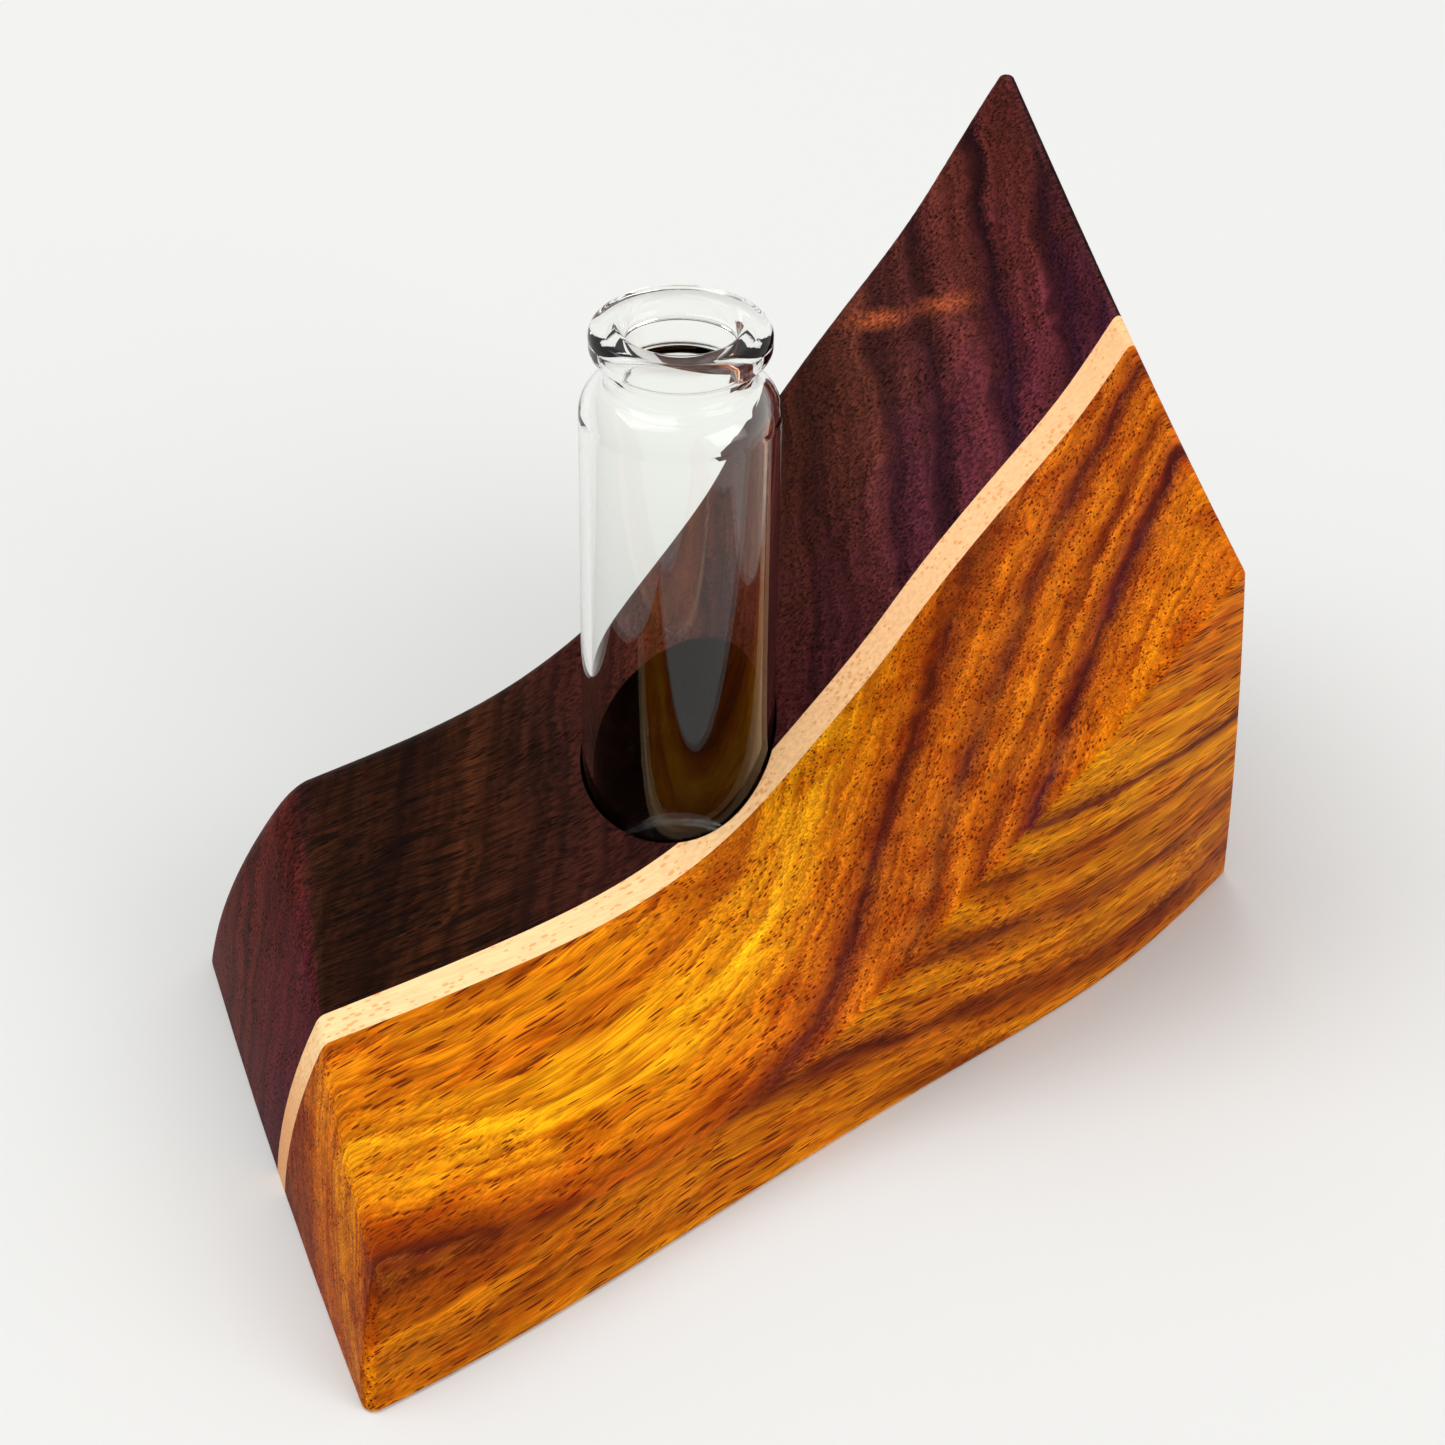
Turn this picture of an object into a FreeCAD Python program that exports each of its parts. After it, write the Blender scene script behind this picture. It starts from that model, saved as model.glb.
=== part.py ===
import FreeCAD, Part
import math
import os

from FreeCAD import Vector

# A desk block of three laminated woods with a swooping top.  A clear glass
# vial stands in a blind bore in the dark wood and keeps dip pens upright.
#
# Frame: +X runs along the glued joints towards the peak, +Y towards the rear
# of the block, +Z up.  The origin lies on the resting face, under the bore.
# All sizes are in millimetres and all slopes are in millimetres per millimetre.

# ---- vial ------------------------------------------------------------------
vialDiameter = 22.5
vialHeight = 75.5
vialWall = 1.2
vialFloor = 2.0
vialPushUp = 0.8            # hollow under the vial's base
vialFootWidth = 2.6         # flat ring that the vial stands on
vialHeelRadius = 2.6
innerHeelRadius = 1.8
neckDiameter = 16.6
mouthDiameter = 12.6
mouthRound = 0.9
lipDiameter = 20.2
lipHeight = 3.7
lipRound = 1.3
shoulderDrop = 11.0         # lip top down to the top of the plain wall
shoulderRadius = 4.5
neckFillet = 1.5

# ---- bore ------------------------------------------------------------------
boreClearance = 0.25        # radial, so that the vial lifts out by hand
boreFloor = 8.0             # wood left under the vial
boreNick = 2.1              # how far the bore cuts into the pale strip

# ---- block -----------------------------------------------------------------
bodyLength = 131.0          # foot of the left end to foot of the right end
boreFromEnd = 58.4          # foot of the left end to the bore
frontDepth = 46.9           # bore to the foot of the front face, at its deepest
rearDepth = 29.0            # bore to the foot of the rear face
stripThickness = 3.5
shelfHeight = 19.5          # low end of the swoop, on the dark joint
rampRise = 53.3             # shelf to the swoop at the last full station
peakSkew = 18.2             # plan angle of the right end, degrees from square
peakLean = 10.2             # right end, degrees from plumb
lowSkewFront = 16.5         # plan angle of the left end's foot, golden wood
lowSkewRear = 19.2          # the same along the dark wood
frontCornerRound = 1.1      # edge radii at the low end's top, as far back as the dark joint
rearCornerRound = 6.0       # the same at its rear corner
rearRimRound = 3.0          # long rear edge of the swoop, at the low end
frontFootRound = 1.4        # upright front edge of the low end, at its foot
rearFootRound = 3.5         # upright rear edge of the low end, at its foot
peakRound = 1.0             # all edges at the high end
footRound = 0.5             # edges of the resting face

# The swoop, station by station along the block.  Each row is the share of
# bodyLength, the share of rampRise above the shelf, and how steeply the top
# climbs towards the rear behind the dark joint and falls away in front of it.
swoopStations = (
    (-0.21, 0.004, 0.27, 0.08),
    (0.03, 0.000, 0.32, 0.20),
    (0.22, -0.013, 0.315, 0.25),
    (0.36, 0.021, 0.30, 0.23),
    (0.44, 0.096, 0.31, 0.21),
    (0.52, 0.232, 0.31, 0.22),
    (0.61, 0.409, 0.31, 0.27),
    (0.64, 0.480, 0.30, 0.32),
    (0.75, 0.700, 0.34, 0.28),
    (0.81, 0.816, 0.38, 0.27),
    (0.88, 1.000, 0.42, 0.33),
    (1.02, 1.360, 0.45, 0.35),
    (1.17, 1.745, 0.47, 0.37),
)

# The front and rear faces, station by station.  Each row is the share of
# bodyLength, how far the front foot is set back from frontDepth, and how fast
# the front and the rear face close in on the bore as they rise.
wallStations = (
    (-0.25, 1.9, 0.37, 0.30),
    (-0.06, 0.0, 0.37, 0.30),
    (0.23, 3.1, 0.25, 0.29),
    (0.51, 6.7, 0.00, 0.235),
    (0.75, 10.0, -0.08, 0.135),
    (0.92, 16.2, -0.16, 0.10),
    (1.13, 24.9, -0.20, 0.08),
)

# The left end leans in and bows over.  Lean at the foot in degrees from plumb,
# and radius of the bow, at the pale strip and forward of it, then far behind.
lowEndBow = (4.5, 42.0)
lowEndBowRear = (6.0, 300.0)
bowShare = 1.6              # height of the bow, in shelf heights, to clear the swoop

# ---- derived ---------------------------------------------------------------
vialRadius = vialDiameter / 2
boreRadius = vialRadius + boreClearance
darkJoint = boreNick - boreRadius
goldJoint = darkJoint - stripThickness
skyHeight = shelfHeight + 2 * rampRise
bowHeight = bowShare * shelfHeight
margin = 25.0               # how far the cutting bodies reach past the block
sameSpot = 0.001            # points and planes nearer than this coincide
frontLimit = -(frontDepth + margin)
rearLimit = rearDepth + margin


def alongBlock(share):
    return share * bodyLength - boreFromEnd


def splineThrough(points):
    curve = Part.BSplineCurve()
    curve.interpolate(points)
    return curve.toShape()


def swoopSection(depth):
    """Closed outline of everything below the swoop, in the plane y = depth."""
    crest = []
    for share, rise, rearClimb, frontFall in swoopStations:
        slope = rearClimb if depth > darkJoint else frontFall
        height = shelfHeight + rise * rampRise + slope * (depth - darkJoint)
        crest.append(Vector(alongBlock(share), depth, height))
    lowLeft = Vector(crest[0].x, depth, -margin)
    lowRight = Vector(crest[-1].x, depth, -margin)
    return Part.Wire([
        Part.makeLine(lowLeft, lowRight),
        Part.makeLine(lowRight, crest[-1]),
        splineThrough(crest[::-1]),
        Part.makeLine(crest[0], lowLeft),
    ])


def belowSwoop():
    sections = [swoopSection(depth) for depth in (frontLimit, darkJoint, rearLimit)]
    return Part.makeLoft(sections, True, False)


def wallOutline(height):
    """Plan outline of the front and rear faces at one height."""
    front = []
    rear = []
    for share, setback, frontSlope, rearSlope in wallStations:
        along = alongBlock(share)
        front.append(Vector(along, setback - frontDepth + frontSlope * height, height))
        rear.append(Vector(along, rearDepth - rearSlope * height, height))
    return Part.Wire([
        splineThrough(front),
        Part.makeLine(front[-1], rear[-1]),
        splineThrough(rear[::-1]),
        Part.makeLine(rear[0], front[0]),
    ])


def betweenWalls():
    return Part.makeLoft([wallOutline(0), wallOutline(skyHeight)], True, True)


def endSection(depth, lowFoot, bow):
    """Closed outline between the left and right ends, in the plane y = depth."""
    lean = math.radians(bow[0])
    radius = bow[1]

    def onBow(height):
        turned = math.asin(math.sin(lean) + height / radius)
        inward = radius * (math.cos(lean) - math.cos(turned))
        return Vector(lowFoot + inward, depth, height)

    bowTop = onBow(bowHeight)
    highFoot = alongBlock(1) + math.tan(math.radians(peakSkew)) * depth
    skyInset = math.tan(math.radians(peakLean)) * skyHeight
    skyLeft = Vector(bowTop.x + margin, depth, skyHeight)
    skyRight = Vector(highFoot - skyInset, depth, skyHeight)
    footRight = Vector(highFoot, depth, 0)
    return Part.Wire([
        Part.Arc(onBow(0), onBow(bowHeight / 2), bowTop).toShape(),
        Part.makeLine(bowTop, skyLeft),
        Part.makeLine(skyLeft, skyRight),
        Part.makeLine(skyRight, footRight),
        Part.makeLine(footRight, onBow(0)),
    ])


def betweenEnds():
    frontSkew = math.tan(math.radians(lowSkewFront))
    rearSkew = math.tan(math.radians(lowSkewRear))
    jointFoot = alongBlock(0) + rearSkew * darkJoint
    frontFoot = jointFoot + frontSkew * (frontLimit - darkJoint)
    rearFoot = alongBlock(0) + rearSkew * rearLimit
    sections = [
        endSection(frontLimit, frontFoot, lowEndBow),
        endSection(darkJoint, jointFoot, lowEndBow),
        endSection(rearLimit, rearFoot, lowEndBowRear),
    ]
    return Part.makeLoft(sections, True, False)


def sharpBlock():
    return oneSolid(belowSwoop().common(betweenWalls()).common(betweenEnds()))


def cornerRound(corner):
    """Radius that the edges have where they reach a corner of a slab."""
    if corner.x > 0:
        return peakRound
    if corner.z < footRound:
        return rearFootRound if corner.y > 0 else frontFootRound
    return rearCornerRound if corner.y > 0 else frontCornerRound


def edgeRounds(edge):
    """Radii at the two ends of an edge, or None on the glued joints."""
    box = edge.BoundBox
    onJoint = min(abs(box.Center.y - joint) for joint in (darkJoint, goldJoint)) < sameSpot
    if onJoint and box.YLength < sameSpot:
        return None
    if box.ZMax < footRound:
        return footRound, footRound
    ends = edge.valueAt(edge.FirstParameter), edge.valueAt(edge.LastParameter)
    rounds = [cornerRound(end) for end in ends]
    isLongRim = box.YMin > 0 and box.XLength > bodyLength / 2
    if isLongRim:
        rounds = [min(size, rearRimRound) for size in rounds]
    return tuple(rounds)


def withRoundedEdges(sharp):
    """Round a slab's outer edges at once, each from corner to corner."""
    page = FreeCAD.newDocument("slab")
    blank = page.addObject("Part::Feature", "blank")
    blank.Shape = sharp
    rounding = page.addObject("Part::Fillet", "rounding")
    rounding.Base = blank
    rounds = []
    for number, edge in enumerate(sharp.Edges, 1):
        sizes = edgeRounds(edge)
        if sizes:
            rounds.append((number, *sizes))
    rounding.Edges = rounds
    page.recompute()
    shape = rounding.Shape.copy()
    FreeCAD.closeDocument(page.Name)
    return oneSolid(shape)


def boreCutter():
    return Part.makeCylinder(boreRadius, skyHeight, Vector(0, 0, boreFloor))


def slab(nearDepth, farDepth):
    """Everything between two planes parallel to the glued joints."""
    width = bodyLength + 4 * margin
    corner = Vector(-boreFromEnd - 2 * margin, nearDepth, -margin)
    return Part.makeBox(width, farDepth - nearDepth, skyHeight + 2 * margin, corner)


def turnedAt(radius, height):
    return Vector(radius, 0, height)


def bend(centre, radius, startAngle, endAngle):
    """Three points of an arc in the XZ plane, angles in degrees from +X."""
    points = []
    for angle in (startAngle, (startAngle + endAngle) / 2, endAngle):
        turn = math.radians(angle)
        points.append(centre + Vector(radius * math.cos(turn), 0, radius * math.sin(turn)))
    return points


def closedProfile(pieces):
    """Join corners (one point) and bends (three points) with straight lines."""
    edges = []
    last = pieces[-1][-1]
    for piece in pieces:
        if last.distanceToPoint(piece[0]) > sameSpot:
            edges.append(Part.makeLine(last, piece[0]))
        if len(piece) == 3:
            edges.append(Part.Arc(*piece).toShape())
        last = piece[-1]
    return Part.Wire(edges)


def shoulder(domeRadius, throatRadius, filletRadius, wallTop):
    """Dome and fillet that lead from the plain wall up into the neck."""
    domeCentre = turnedAt(vialRadius - shoulderRadius, wallTop)
    across = throatRadius + filletRadius - domeCentre.x
    between = domeRadius + filletRadius
    meetAngle = math.degrees(math.acos(across / between))
    up = math.sqrt(between ** 2 - across ** 2)
    filletCentre = turnedAt(throatRadius + filletRadius, wallTop + up)
    dome = bend(domeCentre, domeRadius, 0, meetAngle)
    fillet = bend(filletCentre, filletRadius, 180 + meetAngle, 180)
    return dome, fillet


def makeVial():
    """The vial, turned from one closed outline in the XZ plane."""
    foot = boreFloor
    top = foot + vialHeight
    wallTop = top - shoulderDrop
    neckRadius = neckDiameter / 2
    mouthRadius = mouthDiameter / 2
    lipRadius = lipDiameter / 2
    lipUnder = top - lipHeight
    footOuter = vialRadius - vialHeelRadius
    footInner = footOuter - vialFootWidth
    innerFoot = foot + vialFloor
    innerRadius = vialRadius - vialWall

    outerDome, outerFillet = shoulder(shoulderRadius, neckRadius, neckFillet, wallTop)
    innerDome, innerFillet = shoulder(shoulderRadius - vialWall, mouthRadius,
                                      neckFillet + vialWall / 2, wallTop)
    heelCentre = turnedAt(footOuter, foot + vialHeelRadius)
    innerHeelCentre = turnedAt(innerRadius - innerHeelRadius, innerFoot + innerHeelRadius)
    lipLowCentre = turnedAt(lipRadius - lipRound, lipUnder + lipRound)
    lipHighCentre = turnedAt(lipRadius - lipRound, top - lipRound)
    mouthCentre = turnedAt(mouthRadius + mouthRound, top - mouthRound)
    profile = closedProfile([
        [turnedAt(0, foot + vialPushUp)],
        [turnedAt(footInner - vialPushUp, foot + vialPushUp)],
        [turnedAt(footInner, foot)],
        bend(heelCentre, vialHeelRadius, -90, 0),
        outerDome,
        outerFillet,
        [turnedAt(neckRadius, lipUnder)],
        bend(lipLowCentre, lipRound, -90, 0),
        bend(lipHighCentre, lipRound, 0, 90),
        bend(mouthCentre, mouthRound, 90, 180),
        innerFillet[::-1],
        innerDome[::-1],
        bend(innerHeelCentre, innerHeelRadius, 0, -90),
        [turnedAt(0, innerFoot)],
    ])
    return Part.Face(profile).revolve(Vector(0, 0, 0), Vector(0, 0, 1), 360)


def oneSolid(shape):
    """The shape as a single clean solid."""
    refined = shape.removeSplitter()
    solids = refined.Solids
    if len(solids) != 1:
        raise ValueError("expected one solid, got %d" % len(solids))
    return solids[0]


def makeLamination(sharp, nearDepth, farDepth):
    board = oneSolid(sharp.common(slab(nearDepth, farDepth)))
    return oneSolid(withRoundedEdges(board).cut(boreCutter()))


block = sharpBlock()
parts = {
    "dark_rear_block": makeLamination(block, darkJoint, rearLimit),
    "maple_strip": makeLamination(block, goldJoint, darkJoint),
    "golden_front_block": makeLamination(block, frontLimit, goldJoint),
    "glass_vial": oneSolid(makeVial()),
}

os.makedirs("parts", exist_ok=True)
for name, shape in parts.items():
    shape.exportStep(os.path.join("parts", name + ".step"))
    print(name, "valid", shape.isValid(), "volume", round(shape.Volume, 1))
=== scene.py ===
import math
import bpy
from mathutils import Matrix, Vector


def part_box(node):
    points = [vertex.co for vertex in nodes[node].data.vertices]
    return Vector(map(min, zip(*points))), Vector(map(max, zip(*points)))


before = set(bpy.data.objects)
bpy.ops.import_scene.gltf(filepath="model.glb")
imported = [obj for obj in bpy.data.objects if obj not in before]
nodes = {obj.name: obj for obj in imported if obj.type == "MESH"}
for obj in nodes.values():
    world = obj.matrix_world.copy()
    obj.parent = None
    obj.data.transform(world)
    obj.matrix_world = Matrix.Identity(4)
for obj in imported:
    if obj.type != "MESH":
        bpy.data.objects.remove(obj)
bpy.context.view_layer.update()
print("frame loaded:", sorted(nodes))


def tone(red, green, blue):
    # a colour given from 0 to 255, made linear for the shader
    channels = []
    for value in (red, green, blue):
        share = value / 255
        channels.append(share / 12.92 if share <= 0.04045 else ((share + 0.055) / 1.055) ** 2.4)
    return (*channels, 1.0)


# helpers for node trees
def put(socket, value):
    # a socket takes a link, or else a plain value
    if isinstance(value, bpy.types.NodeSocket):
        socket.id_data.links.new(value, socket)
    else:
        socket.default_value = value


def calc(tree, operation, first, second=0.0):
    node = tree.nodes.new("ShaderNodeMath")
    node.operation = operation
    for socket, value in zip(node.inputs, (first, second)):
        put(socket, value)
    return node.outputs[0]


def addUp(tree, terms):
    total = terms[0]
    for term in terms[1:]:
        total = calc(tree, "ADD", total, term)
    return total


def spread(tree, value, low, high, toLow=0.0, toHigh=1.0):
    node = tree.nodes.new("ShaderNodeMapRange")
    node.interpolation_type = "SMOOTHSTEP"
    for name, item in (("Value", value), ("From Min", low), ("From Max", high),
                       ("To Min", toLow), ("To Max", toHigh)):
        put(node.inputs[name], item)
    return node.outputs["Result"]


def scaled(tree, vector, along, across, up):
    # divides the grain's own axes by these lengths
    node = tree.nodes.new("ShaderNodeVectorMath")
    node.operation = "DIVIDE"
    put(node.inputs[0], vector)
    sizes = tree.nodes.new("ShaderNodeCombineXYZ")
    for socket, value in zip(sizes.inputs, (along, across, up)):
        put(socket, value)
    put(node.inputs[1], sizes.outputs[0])
    return node.outputs[0]


def noise(tree, vector, detail=2.0, roughness=0.5):
    node = tree.nodes.new("ShaderNodeTexNoise")
    put(node.inputs["Vector"], vector)
    node.inputs["Scale"].default_value = 1.0
    node.inputs["Detail"].default_value = detail
    node.inputs["Roughness"].default_value = roughness
    return node.outputs["Fac"]


def blend(tree, factor, first, second, mode="MIX"):
    node = tree.nodes.new("ShaderNodeMix")
    node.data_type = "RGBA"
    node.blend_type = mode
    put(node.inputs[0], factor)
    put(node.inputs[6], first)
    put(node.inputs[7], second)
    return node.outputs[2]


def tinted(tree, colour, tint):
    return blend(tree, 1.0, colour, tone(*tint), "MULTIPLY")


def ramp(tree, value, low, high, stops):
    # colours by the value at which each stands
    share = spread(tree, value, low, high)
    share.node.interpolation_type = "LINEAR"
    node = tree.nodes.new("ShaderNodeValToRGB")
    elements = node.color_ramp.elements
    while len(elements) > 1:
        elements.remove(elements[-1])
    for index, (depth, colour) in enumerate(stops):
        position = (depth - low) / (high - low)
        element = elements[0] if index == 0 else elements.new(position)
        element.position = position
        element.color = tone(*colour)
    put(node.inputs["Fac"], share)
    return node.outputs["Color"]


def newGroup(name, inputs, outputs):
    # an input with no value is a vector
    group = bpy.data.node_groups.new(name, "ShaderNodeTree")
    for label, value in inputs:
        kind = "NodeSocketVector" if value is None else "NodeSocketFloat"
        socket = group.interface.new_socket(label, in_out="INPUT", socket_type=kind)
        if value is not None:
            socket.default_value = value
    for label in outputs:
        group.interface.new_socket(label, in_out="OUTPUT", socket_type="NodeSocketFloat")
    entry = group.nodes.new("NodeGroupInput")
    leave = group.nodes.new("NodeGroupOutput")
    return group, entry.outputs, leave.inputs


def place(tree, group, **values):
    node = tree.nodes.new("ShaderNodeGroup")
    node.node_tree = group
    for name, value in values.items():
        put(node.inputs[name], value)
    return node.outputs


# effects that all the woods share; Grain is in millimetres, with x along the fibres
# sizes of the patterns in millimetres, along, across and up
woodSizes = {
    "Wander": (26.0, 9.0, 9.0), "Fray": (8.0, 2.0, 2.0), "drift": (21.0, 11.0, 11.0),
    "fineSheets": (22.0, 0.7, 9.0), "broadSheets": (40.0, 2.2, 16.0), "mottle": (12.0, 3.2, 3.2),
    "poreCore": 0.72,       # share of a pore's reach that is at full strength
    "sparsePore": 0.2,      # share of its size that a pore keeps where they stand thinnest
}


def makeGrowthLayers():
    # tells how deep a point lies in the growth rings, in millimetres
    names = (("Grain", None), ("Along", 0.0), ("Across", 0.0), ("Up", 0.0), ("Bow", 0.0),
             ("Twist", 0.0), ("Cup", 0.0), ("Fan", 0.0), ("Wander", 1.0), ("Fray", 0.3))
    tree, entry, leave = newGroup("growthLayers", names, ("Depth",))
    axes = tree.nodes.new("ShaderNodeSeparateXYZ")
    put(axes.inputs[0], entry["Grain"])
    x, y, z = axes.outputs
    products = {"Along": x, "Across": y, "Up": z, "Bow": calc(tree, "MULTIPLY", x, x),
                "Twist": calc(tree, "MULTIPLY", x, z), "Cup": calc(tree, "MULTIPLY", z, z),
                "Fan": calc(tree, "MULTIPLY", x, y)}
    terms = [calc(tree, "MULTIPLY", entry[name], item) for name, item in products.items()]
    for name in ("Wander", "Fray"):
        wave = noise(tree, scaled(tree, entry["Grain"], *woodSizes[name]))
        terms.append(calc(tree, "MULTIPLY", calc(tree, "SUBTRACT", wave, 0.5), entry[name]))
    put(leave["Depth"], addUp(tree, terms))
    return tree


def leanFibres(tree, entry):
    # leans the fibres off the x axis, and lets them drift a little along their length
    axes = tree.nodes.new("ShaderNodeSeparateXYZ")
    put(axes.inputs[0], entry["Grain"])
    x, y, z = axes.outputs
    wave = noise(tree, scaled(tree, entry["Grain"], *woodSizes["drift"]), 1.0)
    drift = calc(tree, "MULTIPLY", calc(tree, "SUBTRACT", wave, 0.5), entry["Drift"])
    leaned = tree.nodes.new("ShaderNodeCombineXYZ")
    put(leaned.inputs[0], x)
    for index, item, lean in ((1, y, entry["Sideways"]), (2, z, entry["Rise"])):
        run = calc(tree, "SUBTRACT", item, calc(tree, "MULTIPLY", x, lean))
        put(leaned.inputs[index], calc(tree, "ADD", run, drift))
    return leaned.outputs[0]


def makeSheets():
    # thin sheets of darker and paler wood, lying along the growth layers
    names = (("Grain", None), ("Depth", 0.0), ("Acrossness", 0.63), ("Upness", 0.77))
    tree, entry, leave = newGroup("sheets", names, ("Fine", "Broad"))
    axes = tree.nodes.new("ShaderNodeSeparateXYZ")
    put(axes.inputs[0], entry["Grain"])
    x, y, z = axes.outputs
    along = calc(tree, "ADD", calc(tree, "MULTIPLY", y, entry["Acrossness"]),
                 calc(tree, "MULTIPLY", z, entry["Upness"]))
    layered = tree.nodes.new("ShaderNodeCombineXYZ")
    for socket, value in zip(layered.inputs, (x, entry["Depth"], along)):
        put(socket, value)
    fine = scaled(tree, layered.outputs[0], *woodSizes["fineSheets"])
    broad = scaled(tree, layered.outputs[0], *woodSizes["broadSheets"])
    put(leave["Fine"], noise(tree, fine, 3.0, 0.6))
    put(leave["Broad"], noise(tree, broad, 2.0, 0.5))
    return tree


def makeFibreLines():
    # fine lengthwise lines, thicker cords, and the broad mottle under them
    names = (("Grain", None), ("Sideways", 0.0), ("Rise", 0.0), ("Drift", 2.0),
             ("Length", 9.0), ("Width", 0.3), ("CordLength", 24.0), ("CordWidth", 0.8))
    tree, entry, leave = newGroup("fibreLines", names, ("Lines", "Cords", "Mottle"))
    fibre = leanFibres(tree, entry)
    fine = scaled(tree, fibre, entry["Length"], entry["Width"], entry["Width"])
    cords = scaled(tree, fibre, entry["CordLength"], entry["CordWidth"], entry["CordWidth"])
    put(leave["Lines"], noise(tree, fine, 3.0, 0.6))
    put(leave["Cords"], noise(tree, cords, 2.0, 0.5))
    put(leave["Mottle"], noise(tree, scaled(tree, fibre, *woodSizes["mottle"]), 3.0, 0.55))
    return tree


def makePores():
    # open vessels: dashes where they run along a surface, dots where they are cut across
    names = (("Grain", None), ("Sideways", 0.0), ("Rise", 0.0), ("Drift", 2.0),
             ("Length", 5.5), ("Spacing", 0.5), ("Size", 0.32), ("Crowd", 0.5))
    tree, entry, leave = newGroup("pores", names, ("Pores",))
    cells = tree.nodes.new("ShaderNodeTexVoronoi")
    cells.inputs["Scale"].default_value = 1.0
    put(cells.inputs["Vector"],
        scaled(tree, leanFibres(tree, entry), entry["Length"], entry["Spacing"], entry["Spacing"]))
    share = spread(tree, entry["Crowd"], 0.0, 1.0, woodSizes["sparsePore"], 1.0)
    reach = calc(tree, "MULTIPLY", entry["Size"], share)
    inner = calc(tree, "MULTIPLY", reach, woodSizes["poreCore"])
    put(leave["Pores"], spread(tree, cells.outputs["Distance"], inner, reach, 1.0, 0.0))
    return tree


def makeSawnFaces():
    # from 0 to 1: how squarely a surface cuts across the fibres, how squarely it faces the front,
    # and whether it turns to the right, most of all on the rounded edge of the right-hand end
    names = (("From", 0.25), ("To", 0.8))
    tree, entry, leave = newGroup("sawnFaces", names, ("End", "Front", "Right"))
    facing = tree.nodes.new("ShaderNodeNewGeometry")
    axes = tree.nodes.new("ShaderNodeSeparateXYZ")
    put(axes.inputs[0], facing.outputs["True Normal"])
    right, rear = axes.outputs[:2]
    put(leave["End"], spread(tree, calc(tree, "ABSOLUTE", right), entry["From"], entry["To"]))
    put(leave["Front"], spread(tree, rear, -0.95, -0.8, 1.0, 0.0))
    # the Right mask carries painted shade: the dark wood is darkened where it turns away to the right
    turned = spread(tree, right, -0.1, 0.3)
    flatEnd = spread(tree, right, 0.8, 0.93, 1.0, 0.35)     # the flat end itself gets less of it
    put(leave["Right"], calc(tree, "MULTIPLY", turned, flatEnd))
    return tree


def makeBoreWall():
    # 1 on the wall and floor of the bore, 0 on every other surface
    names = (("Grain", None), ("CentreX", 0.0), ("CentreY", 0.0), ("Radius", 11.6))
    tree, entry, leave = newGroup("boreWall", names, ("Inside",))
    axes = tree.nodes.new("ShaderNodeSeparateXYZ")
    put(axes.inputs[0], entry["Grain"])
    squares = []
    for index, name in enumerate(("CentreX", "CentreY")):
        off = calc(tree, "SUBTRACT", axes.outputs[index], entry[name])
        squares.append(calc(tree, "MULTIPLY", off, off))
    distance = calc(tree, "SQRT", addUp(tree, squares))
    put(leave["Inside"], calc(tree, "LESS_THAN", distance, entry["Radius"]))
    return tree


growthLayers = makeGrowthLayers()
sheets = makeSheets()
fibreLines = makeFibreLines()
pores = makePores()
sawnFaces = makeSawnFaces()
boreWall = makeBoreWall()
print("shared wood effects built")


def newMaterial(name):
    material = bpy.data.materials.new(name)
    material.use_nodes = True
    tree = material.node_tree
    shader = tree.nodes["Principled BSDF"]
    return material, tree, shader


millimetres = 1000.0    # in one of the scene's metres


def grainOf(tree):
    # object coordinates in millimetres: x runs along the fibres
    coordinates = tree.nodes.new("ShaderNodeTexCoord")
    node = tree.nodes.new("ShaderNodeVectorMath")
    node.operation = "SCALE"
    put(node.inputs[0], coordinates.outputs["Object"])
    node.inputs["Scale"].default_value = millimetres
    return node.outputs[0]


def roughen(tree, shader, height, depth):
    node = tree.nodes.new("ShaderNodeBump")
    node.inputs["Strength"].default_value = surface["bumpStrength"]
    node.inputs["Distance"].default_value = depth
    put(node.inputs["Height"], height)
    put(shader.inputs["Normal"], node.outputs["Normal"])


surface = {"poreDulling": 0.25, "lineDulling": 0.12, "bumpStrength": 0.6}
# the tint is painted shade, darkening the wall and floor of the bore
bore = {"overVial": 0.3, "tint": (104, 84, 76)}     # overVial: millimetres past the vial's radius
vialLow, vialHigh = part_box("glass_vial")
boreCentre = [(vialLow[axis] + vialHigh[axis]) / 2 * millimetres for axis in (0, 1)]
boreRadius = (vialHigh[0] - vialLow[0]) / 2 * millimetres + bore["overVial"]


def finishWood(tree, shader, grain, colour, lines, poreMask, values):
    # surface finish that all three woods have: oiled, with pores left open, and painted shade in the
    # bore
    boreShade = place(tree, boreWall, Grain=grain, CentreX=boreCentre[0], CentreY=boreCentre[1],
                   Radius=boreRadius)["Inside"]
    put(shader.inputs["Base Color"], blend(tree, boreShade, colour, tinted(tree, colour, bore["tint"])))
    dulled = calc(tree, "ADD", values["roughness"],
                  calc(tree, "MULTIPLY", poreMask, surface["poreDulling"]))
    put(shader.inputs["Roughness"],
        calc(tree, "ADD", dulled, calc(tree, "MULTIPLY", lines, surface["lineDulling"])))
    shader.inputs["Specular IOR Level"].default_value = values["shine"]
    pits = calc(tree, "MULTIPLY", poreMask, -1.0)
    height = calc(tree, "ADD", pits, calc(tree, "MULTIPLY", lines, values["lineHeight"]))
    roughen(tree, shader, height, values["poreDepth"])


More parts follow.
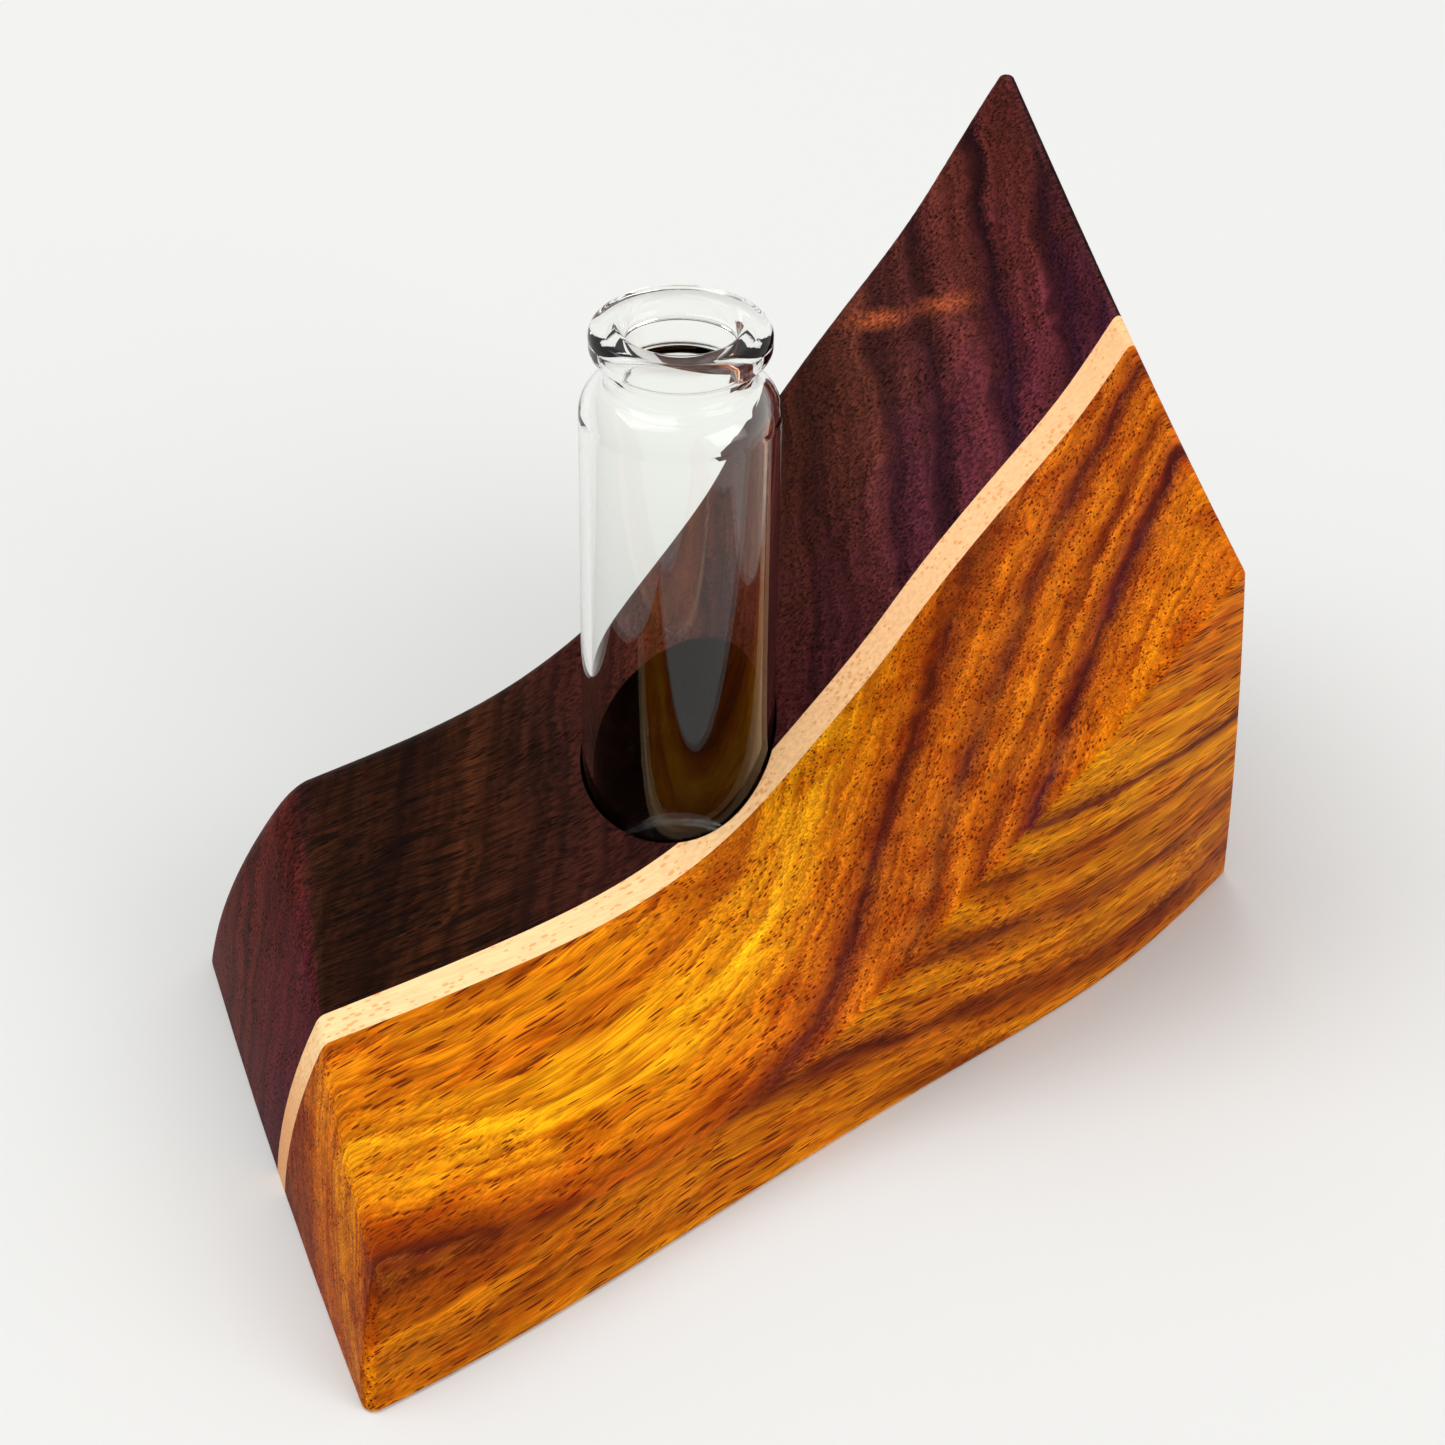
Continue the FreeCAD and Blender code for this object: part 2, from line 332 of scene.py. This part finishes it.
# golden wood, the front block
# a range is the low and high of what comes in, then what they turn into
goldenWood = {
    "roughness": 0.38, "shine": 0.03, "poreDepth": 0.00007, "lineHeight": 0.35,
    "poreColour": (88, 26, 6), "poreStrength": 0.92, "plain": (198, 106, 12),
    "lean": {"Sideways": 0.15, "Rise": 0.05, "Drift": 3.0},
    "growth": {"Along": 0.164, "Across": -1.0, "Up": 0.818, "Bow": 0.00082, "Twist": -0.0044,
               "Cup": -0.00226, "Wander": 2.4, "Fray": 1.4},
    "fibres": {"Length": 11.0, "Width": 0.2}, "feather": 1.5,
    "pores": {"Length": 6.5, "Spacing": 0.42, "Size": 0.32},
    "fadeSizes": (13.0, 7.0, 7.0), "fadeRange": (0.44, 0.66, 0.0, 0.42),
    "broadRange": (0.36, 0.52, 0.6, 0.0), "fineRange": (0.32, 0.54, 0.75, 0.0),
    "paleRange": (0.5, 0.7, 1.0, 1.22), "lineRange": (0.3, 0.7, 0.6, 1.34),
    "cordRange": (0.35, 0.65, 0.84, 1.12), "mottleRange": (0.47, 0.66, 0.0, 0.65),
    "crowdByTone": (0.08, 0.4, 0.6, 0.25), "crowdByMottle": (0.35, 0.62, 0.05, 0.7),
    "sheetDark": (176, 118, 70), "mottleTint": (212, 164, 106), "endGrainShadeTint": (206, 176, 150),
    "rings": (  # depth in the rings, colour
        (6, (128, 60, 14)), (15, (160, 80, 12)), (20, (150, 72, 12)), (24, (198, 108, 8)),
        (28, (220, 132, 8)), (31.5, (200, 108, 6)), (34.5, (230, 148, 10)), (38.5, (244, 166, 14)),
        (41.5, (220, 132, 8)), (44.3, (204, 108, 8)), (46.8, (154, 66, 8)), (48.2, (86, 28, 20)),
        (49.8, (156, 70, 14)), (52, (212, 112, 12)), (54.2, (152, 64, 14)), (55.3, (88, 30, 24)),
        (56.8, (184, 90, 14)), (59, (214, 116, 10)), (60.6, (136, 54, 14)), (62, (206, 108, 12)),
        (63.7, (132, 50, 20)), (64.5, (72, 20, 32)), (65.7, (168, 78, 12)), (67.5, (206, 108, 6)),
        (70.5, (220, 124, 6)), (74, (200, 98, 8)), (77, (194, 92, 10))),
    "frontRings": (  # the same rings where the front face runs along them
        (6, (150, 78, 12)), (20, (158, 78, 12)), (24, (196, 108, 8)), (29, (206, 120, 8)),
        (31.5, (176, 92, 8)), (34.5, (214, 132, 8)), (38.5, (222, 140, 10)), (41.5, (196, 112, 8)),
        (42.8, (154, 80, 10)), (43.8, (204, 118, 8)), (46.2, (180, 96, 8)), (47.4, (130, 56, 12)),
        (48.2, (92, 34, 16)), (49.2, (150, 72, 10)), (51, (200, 118, 8)), (53.6, (210, 128, 6)),
        (54.7, (150, 74, 12)), (55.3, (104, 42, 18)), (56.2, (176, 94, 10)), (58.4, (214, 134, 6)),
        (60, (178, 98, 8)), (60.6, (116, 52, 12)), (61.3, (196, 116, 8)), (63.6, (208, 130, 6)),
        (64.2, (112, 48, 16)), (64.7, (104, 42, 18)), (65.5, (200, 120, 6)), (68, (218, 140, 6)),
        (72, (204, 114, 8)), (77, (206, 108, 8))),
}


def makeGoldenWood(values):
    material, tree, shader = newMaterial("goldenWood")
    grain = grainOf(tree)
    fibres = place(tree, fibreLines, Grain=grain, **values["fibres"], **values["lean"])
    smooth = place(tree, growthLayers, Grain=grain, **values["growth"])["Depth"]
    # fibres feather the edges of the rings
    feather = calc(tree, "MULTIPLY", calc(tree, "SUBTRACT", fibres["Lines"], 0.5), values["feather"])
    depth = calc(tree, "ADD", smooth, feather)
    faces = place(tree, sawnFaces, From=0.8, To=0.95)
    first = values["rings"][0][0]
    last = values["rings"][-1][0]
    allRings = blend(tree, faces["Front"], ramp(tree, depth, first, last, values["rings"]),
                     ramp(tree, depth, first, last, values["frontRings"]))
    # the rings are stronger and weaker along their length
    fade = spread(tree, noise(tree, scaled(tree, grain, *values["fadeSizes"])), *values["fadeRange"])
    rings = blend(tree, fade, allRings, tone(*values["plain"]))
    layers = place(tree, sheets, Grain=grain, Depth=depth)
    dark = tinted(tree, rings, values["sheetDark"])
    broadShade = spread(tree, layers["Broad"], *values["broadRange"])
    fineShade = spread(tree, layers["Fine"], *values["fineRange"])
    sheeted = blend(tree, calc(tree, "MAXIMUM", broadShade, fineShade), rings, dark)
    pale = spread(tree, layers["Fine"], *values["paleRange"])
    flecked = blend(tree, 1.0, sheeted, pale, "MULTIPLY")
    strands = calc(tree, "MULTIPLY", spread(tree, fibres["Lines"], *values["lineRange"]),
                   spread(tree, fibres["Cords"], *values["cordRange"]))
    lined = blend(tree, 1.0, flecked, strands, "MULTIPLY")
    # pores stand thickest in the darker wood
    brightness = tree.nodes.new("ShaderNodeRGBToBW")
    put(brightness.inputs[0], rings)
    crowd = calc(tree, "ADD", spread(tree, brightness.outputs[0], *values["crowdByTone"]),
                 spread(tree, fibres["Mottle"], *values["crowdByMottle"]))
    poreMask = place(tree, pores, Grain=grain, Crowd=crowd, **values["pores"],
                     **values["lean"])["Pores"]
    browned = blend(tree, spread(tree, fibres["Mottle"], *values["mottleRange"]), lined,
                    tinted(tree, lined, values["mottleTint"]))
    # end faces darker and browner: partly end grain, partly painted shade on the left end
    ended = blend(tree, faces["End"], browned, tinted(tree, browned, values["endGrainShadeTint"]))
    colour = blend(tree, calc(tree, "MULTIPLY", poreMask, values["poreStrength"]), ended,
                   tone(*values["poreColour"]))
    finishWood(tree, shader, grain, colour, fibres["Lines"], poreMask, values)
    return material


# dark wood, the rear block
darkWood = {
    "roughness": 0.42, "shine": 0.025, "poreDepth": 0.00006, "lineHeight": 0.3,
    "poreColour": (14, 5, 3), "poreStrength": 0.75,
    "faceRings": (
        (-66, (48, 21, 12)), (-56, (42, 18, 9)), (-50, (46, 22, 9)), (-41, (34, 14, 6)),
        (-31, (58, 28, 12)), (-21, (44, 20, 11)), (-8, (50, 21, 15)), (10, (58, 24, 21)),
        (40, (70, 32, 32)), (66, (72, 34, 34))),
    "sheenedCutRings": (
        (-66, (76, 27, 27)), (-52, (74, 27, 27)), (14, (64, 29, 23)), (21, (56, 25, 22)),
        (26, (76, 36, 31)), (29, (90, 44, 38)), (31.5, (50, 21, 25)), (35, (78, 36, 37)),
        (38, (50, 20, 26)), (40.5, (80, 35, 37)), (44, (90, 41, 39)), (46, (60, 24, 29)),
        (47.5, (38, 14, 24)), (49.5, (86, 37, 38)), (52.5, (92, 40, 40)), (55, (42, 17, 27)),
        (57, (80, 35, 38)), (59, (44, 18, 27)), (61, (72, 31, 36)), (66, (52, 24, 30))),
    "growth": {"Along": 1.0, "Across": -0.74, "Fan": 0.0044, "Wander": 4.5, "Fray": 2.0},
    "fibres": {"Length": 7.0, "Width": 0.3, "CordLength": 9.0, "CordWidth": 0.75}, "feather": 2.5,
    "pores": {"Length": 2.8, "Spacing": 0.46, "Size": 0.36},
    "lineRange": (0.32, 0.68, 0.42, 1.38), "broadRange": (0.35, 0.65, 0.7, 1.3),
    "fineRange": (0.35, 0.65, 0.8, 1.2), "barRange": (0.52, 0.66), "barStrength": 0.8,
    "standStart": (-50.0, -40.0), "standEnd": (-32.0, -20.0),     # where the bars fade in and out
    "barColour": (14, 6, 3),
    "purpleTint": (1.0, 0.85, 1.18, 1.0), "brownTint": (1.04, 1.0, 0.72, 1.0),
    # rightShadeTint is painted shade for surfaces turning to the right
    "sheenColour": (214, 104, 58), "rightShadeTint": (120, 112, 116),
    # painted sheen: the two wisps of coppery highlight in sheenColour
    "sheenWisps": ((40.0, 14.9, 0.8), (45.8, 9.5, 0.6)),     # x, y and strength
    "wispLength": 3.0, "wispWidth": 0.85, "lean": {"Sideways": 0.0, "Rise": 0.03, "Drift": 2.0},
}


def makeDarkWood(values):
    material, tree, shader = newMaterial("darkWood")
    grain = grainOf(tree)
    fibres = place(tree, fibreLines, Grain=grain, **values["fibres"], **values["lean"])
    smooth = place(tree, growthLayers, Grain=grain, **values["growth"])["Depth"]
    feather = calc(tree, "MULTIPLY", calc(tree, "SUBTRACT", fibres["Lines"], 0.5), values["feather"])
    depth = calc(tree, "ADD", smooth, feather)
    layers = place(tree, sheets, Grain=grain, Depth=depth, Acrossness=1.0, Upness=0.0)
    faces = place(tree, sawnFaces, From=0.15, To=0.6)
    cut = faces["End"]
    first = values["faceRings"][0][0]
    last = values["faceRings"][-1][0]
    # cut faces take their own ring colours: partly end grain, partly painted sheen that makes them
    # lighter and more purple
    rings = blend(tree, cut, ramp(tree, depth, first, last, values["faceRings"]),
                  ramp(tree, depth, first, last, values["sheenedCutRings"]))
    axes = tree.nodes.new("ShaderNodeSeparateXYZ")
    put(axes.inputs[0], grain)
    x, y = axes.outputs[:2]
    # purple towards the strip, brown towards the rear, with a mottled border between them
    stray = calc(tree, "MULTIPLY", calc(tree, "SUBTRACT", fibres["Mottle"], 0.5), 30.0)
    side = calc(tree, "ADD", y, stray)
    hue = blend(tree, spread(tree, side, -6.0, 12.0), values["purpleTint"], values["brownTint"])
    hued = blend(tree, cut, rings, blend(tree, 1.0, rings, hue, "MULTIPLY"))
    streaked = blend(tree, 1.0, hued, spread(tree, fibres["Lines"], *values["lineRange"]), "MULTIPLY")
    shade = calc(tree, "MULTIPLY", spread(tree, layers["Broad"], *values["broadRange"]),
                 spread(tree, layers["Fine"], *values["fineRange"]))
    mottled = blend(tree, 1.0, streaked, shade, "MULTIPLY")
    # a stand of near-black lengthwise bars on the shelf
    stand = calc(tree, "MULTIPLY", spread(tree, x, *values["standStart"]),
                 spread(tree, x, *values["standEnd"], 1.0, 0.0))
    bars = calc(tree, "MULTIPLY", spread(tree, fibres["Cords"], *values["barRange"]), stand)
    barred = blend(tree, calc(tree, "MULTIPLY", bars, values["barStrength"]), mottled,
                   tone(*values["barColour"]))
    poreMask = place(tree, pores, Grain=grain, Crowd=spread(tree, fibres["Mottle"], 0.25, 0.7),
                     **values["pores"], **values["lean"])["Pores"]
    colour = blend(tree, calc(tree, "MULTIPLY", poreMask, values["poreStrength"]), barred,
                   tone(*values["poreColour"]))
    # painted sheen: a coppery highlight painted in two wisps high on the ramp
    ragged = calc(tree, "MULTIPLY", spread(tree, fibres["Lines"], 0.35, 0.62, 0.25, 1.1),
                  spread(tree, layers["Fine"], 0.35, 0.6, 0.5, 1.1))
    for east, north, strength in values["sheenWisps"]:
        across = calc(tree, "SUBTRACT", x, east)
        back = calc(tree, "SUBTRACT", y, north)
        squares = []
        runs = ((0.64, -0.77, values["wispLength"]), (0.77, 0.64, values["wispWidth"]))
        # lengthways, then crossways
        for xShare, yShare, size in runs:
            run = calc(tree, "ADD", calc(tree, "MULTIPLY", across, xShare),
                       calc(tree, "MULTIPLY", back, yShare))
            share = calc(tree, "DIVIDE", run, size)
            squares.append(calc(tree, "MULTIPLY", share, share))
        distance = calc(tree, "SQRT", addUp(tree, squares))
        glow = calc(tree, "MULTIPLY", ragged, spread(tree, distance, -0.4, 1.9, strength, 0.0))
        colour = blend(tree, glow, colour, tone(*values["sheenColour"]))
    # painted shade on surfaces turning to the right, most on the rounded edge of the right-hand end
    colour = blend(tree, faces["Right"], colour, tinted(tree, colour, values["rightShadeTint"]))
    finishWood(tree, shader, grain, colour, fibres["Lines"], poreMask, values)
    return material


# pale wood, the strip between
paleWood = {
    "roughness": 0.45, "shine": 0.12, "poreDepth": 0.00003, "lineHeight": 0.4,
    "poreColour": (226, 150, 84), "poreStrength": 0.7,
    "lengthwise": ((-75, (242, 206, 150)), (-40, (243, 207, 152)), (-8, (246, 203, 148)),
                   (12, (250, 198, 144)), (40, (250, 192, 138)), (75, (246, 190, 136))),
    "shadedCutColour": (218, 154, 100), "lean": {"Sideways": 0.0, "Rise": 0.02, "Drift": 1.5},
    "fibres": {"Length": 5.0, "Width": 0.4}, "pores": {"Length": 1.6, "Spacing": 0.55, "Size": 0.4},
    "lineRange": (0.3, 0.7, 0.88, 1.06),
}


def makePaleWood(values):
    material, tree, shader = newMaterial("paleWood")
    grain = grainOf(tree)
    axes = tree.nodes.new("ShaderNodeSeparateXYZ")
    put(axes.inputs[0], grain)
    first = values["lengthwise"][0][0]
    last = values["lengthwise"][-1][0]
    base = ramp(tree, axes.outputs[0], first, last, values["lengthwise"])
    cut = place(tree, sawnFaces, From=0.8, To=0.95)["End"]
    # end faces: end-grain colour, darkened further as painted shade for the left end
    board = blend(tree, cut, base, tone(*values["shadedCutColour"]))
    fibres = place(tree, fibreLines, Grain=grain, **values["fibres"], **values["lean"])
    poreMask = place(tree, pores, Grain=grain, Crowd=spread(tree, fibres["Mottle"], 0.3, 0.7),
                     **values["pores"], **values["lean"])["Pores"]
    streaked = blend(tree, 1.0, board, spread(tree, fibres["Lines"], *values["lineRange"]), "MULTIPLY")
    colour = blend(tree, calc(tree, "MULTIPLY", poreMask, values["poreStrength"]), streaked,
                   tone(*values["poreColour"]))
    finishWood(tree, shader, grain, colour, fibres["Lines"], poreMask, values)
    return material


# clear glass, the vial
clearGlass = {"colour": (254, 255, 253), "roughness": 0.0, "ior": 1.35}


def makeClearGlass(values):
    material, tree, shader = newMaterial("clearGlass")
    shader.inputs["Base Color"].default_value = tone(*values["colour"])
    shader.inputs["Roughness"].default_value = values["roughness"]
    shader.inputs["IOR"].default_value = values["ior"]
    shader.inputs["Transmission Weight"].default_value = 1.0
    return material


finishes = {
    "golden_front_block": makeGoldenWood(goldenWood),
    "dark_rear_block": makeDarkWood(darkWood),
    "maple_strip": makePaleWood(paleWood),
    "glass_vial": makeClearGlass(clearGlass),
}
for name, material in finishes.items():
    for materialSlot in nodes[name].material_slots:
        materialSlot.material = material
print("finishes applied:", len(finishes))

# floor, light and camera
studio = {
    "floorColour": (216, 216, 214), "farColour": (242, 242, 240), "floorSize": 6.0, "paleFrom": 0.5,
    "worldStrength": 0.74, "backdropStrength": 0.84,
    "lamps": (("keySoftbox", (-0.75, 0.75, 2.5), 39.0), ("fillSoftbox", (1.05, -2.4, 1.45), 36.0)),
    "lampSize": 2.1, "lampTarget": (0, 0, 0.03),    # metres, and each lamp above is in watts
    "cameraPlace": (-0.19317, -0.26494, 0.2617), "cameraTurn": (54.857, -0.735, -36.483),
    "lens": 85.5, "sensorWidth": 36.0, "nearest": 0.01,
}


def makeFloor(values):
    bpy.ops.mesh.primitive_plane_add(size=values["floorSize"], location=(0, 0, 0))
    floor = bpy.context.object
    floor.name = "studioFloor"
    material, tree, shader = newMaterial("paleFloor")
    # paler far from the object, where the lamps light it less
    coordinates = tree.nodes.new("ShaderNodeTexCoord")
    length = tree.nodes.new("ShaderNodeVectorMath")
    length.operation = "LENGTH"
    put(length.inputs[0], coordinates.outputs["Object"])
    share = spread(tree, length.outputs["Value"], values["paleFrom"], values["floorSize"] / 2)
    put(shader.inputs["Base Color"],
        blend(tree, share, tone(*values["floorColour"]), tone(*values["farColour"])))
    shader.inputs["Roughness"].default_value = 1.0
    shader.inputs["Specular IOR Level"].default_value = 0.0
    floor.data.materials.append(material)


def makeWorld(values):
    world = bpy.data.worlds.new("studioWorld")
    world.use_nodes = True
    tree = world.node_tree
    background = tree.nodes["Background"]
    background.inputs["Color"].default_value = (1.0, 1.0, 1.0, 1.0)
    # the eye, the gloss and the glass see a paler backdrop than the one that lights the wood
    rays = tree.nodes.new("ShaderNodeLightPath").outputs
    names = ("Is Camera Ray", "Is Glossy Ray", "Is Transmission Ray")
    seen = addUp(tree, [rays[name] for name in names])
    put(background.inputs["Strength"],
        spread(tree, seen, 0.0, 1.0, values["worldStrength"], values["backdropStrength"]))
    bpy.context.scene.world = world


def makeSoftbox(name, spot, watts, values):
    lamp = bpy.data.lights.new(name, "AREA")
    lamp.size = values["lampSize"]
    lamp.energy = watts
    holder = bpy.data.objects.new(name, lamp)
    bpy.context.collection.objects.link(holder)
    holder.location = spot
    holder.visible_camera = False
    target = values["lampTarget"]
    away = [spot[i] - target[i] for i in range(3)]
    holder.rotation_euler = (math.acos(away[2] / math.dist(spot, target)), 0,
                             math.atan2(away[1], away[0]) + math.pi / 2)


def makeCamera(values):
    camera = bpy.data.cameras.new("view")
    camera.sensor_width = values["sensorWidth"]
    camera.lens = values["lens"]
    camera.clip_start = values["nearest"]
    holder = bpy.data.objects.new("view", camera)
    bpy.context.collection.objects.link(holder)
    holder.location = values["cameraPlace"]
    holder.rotation_euler = [math.radians(angle) for angle in values["cameraTurn"]]
    bpy.context.scene.camera = holder


makeFloor(studio)
makeWorld(studio)
for name, spot, watts in studio["lamps"]:
    makeSoftbox(name, spot, watts, studio)
makeCamera(studio)
bpy.context.scene.view_settings.view_transform = "Standard"
print("studio set")
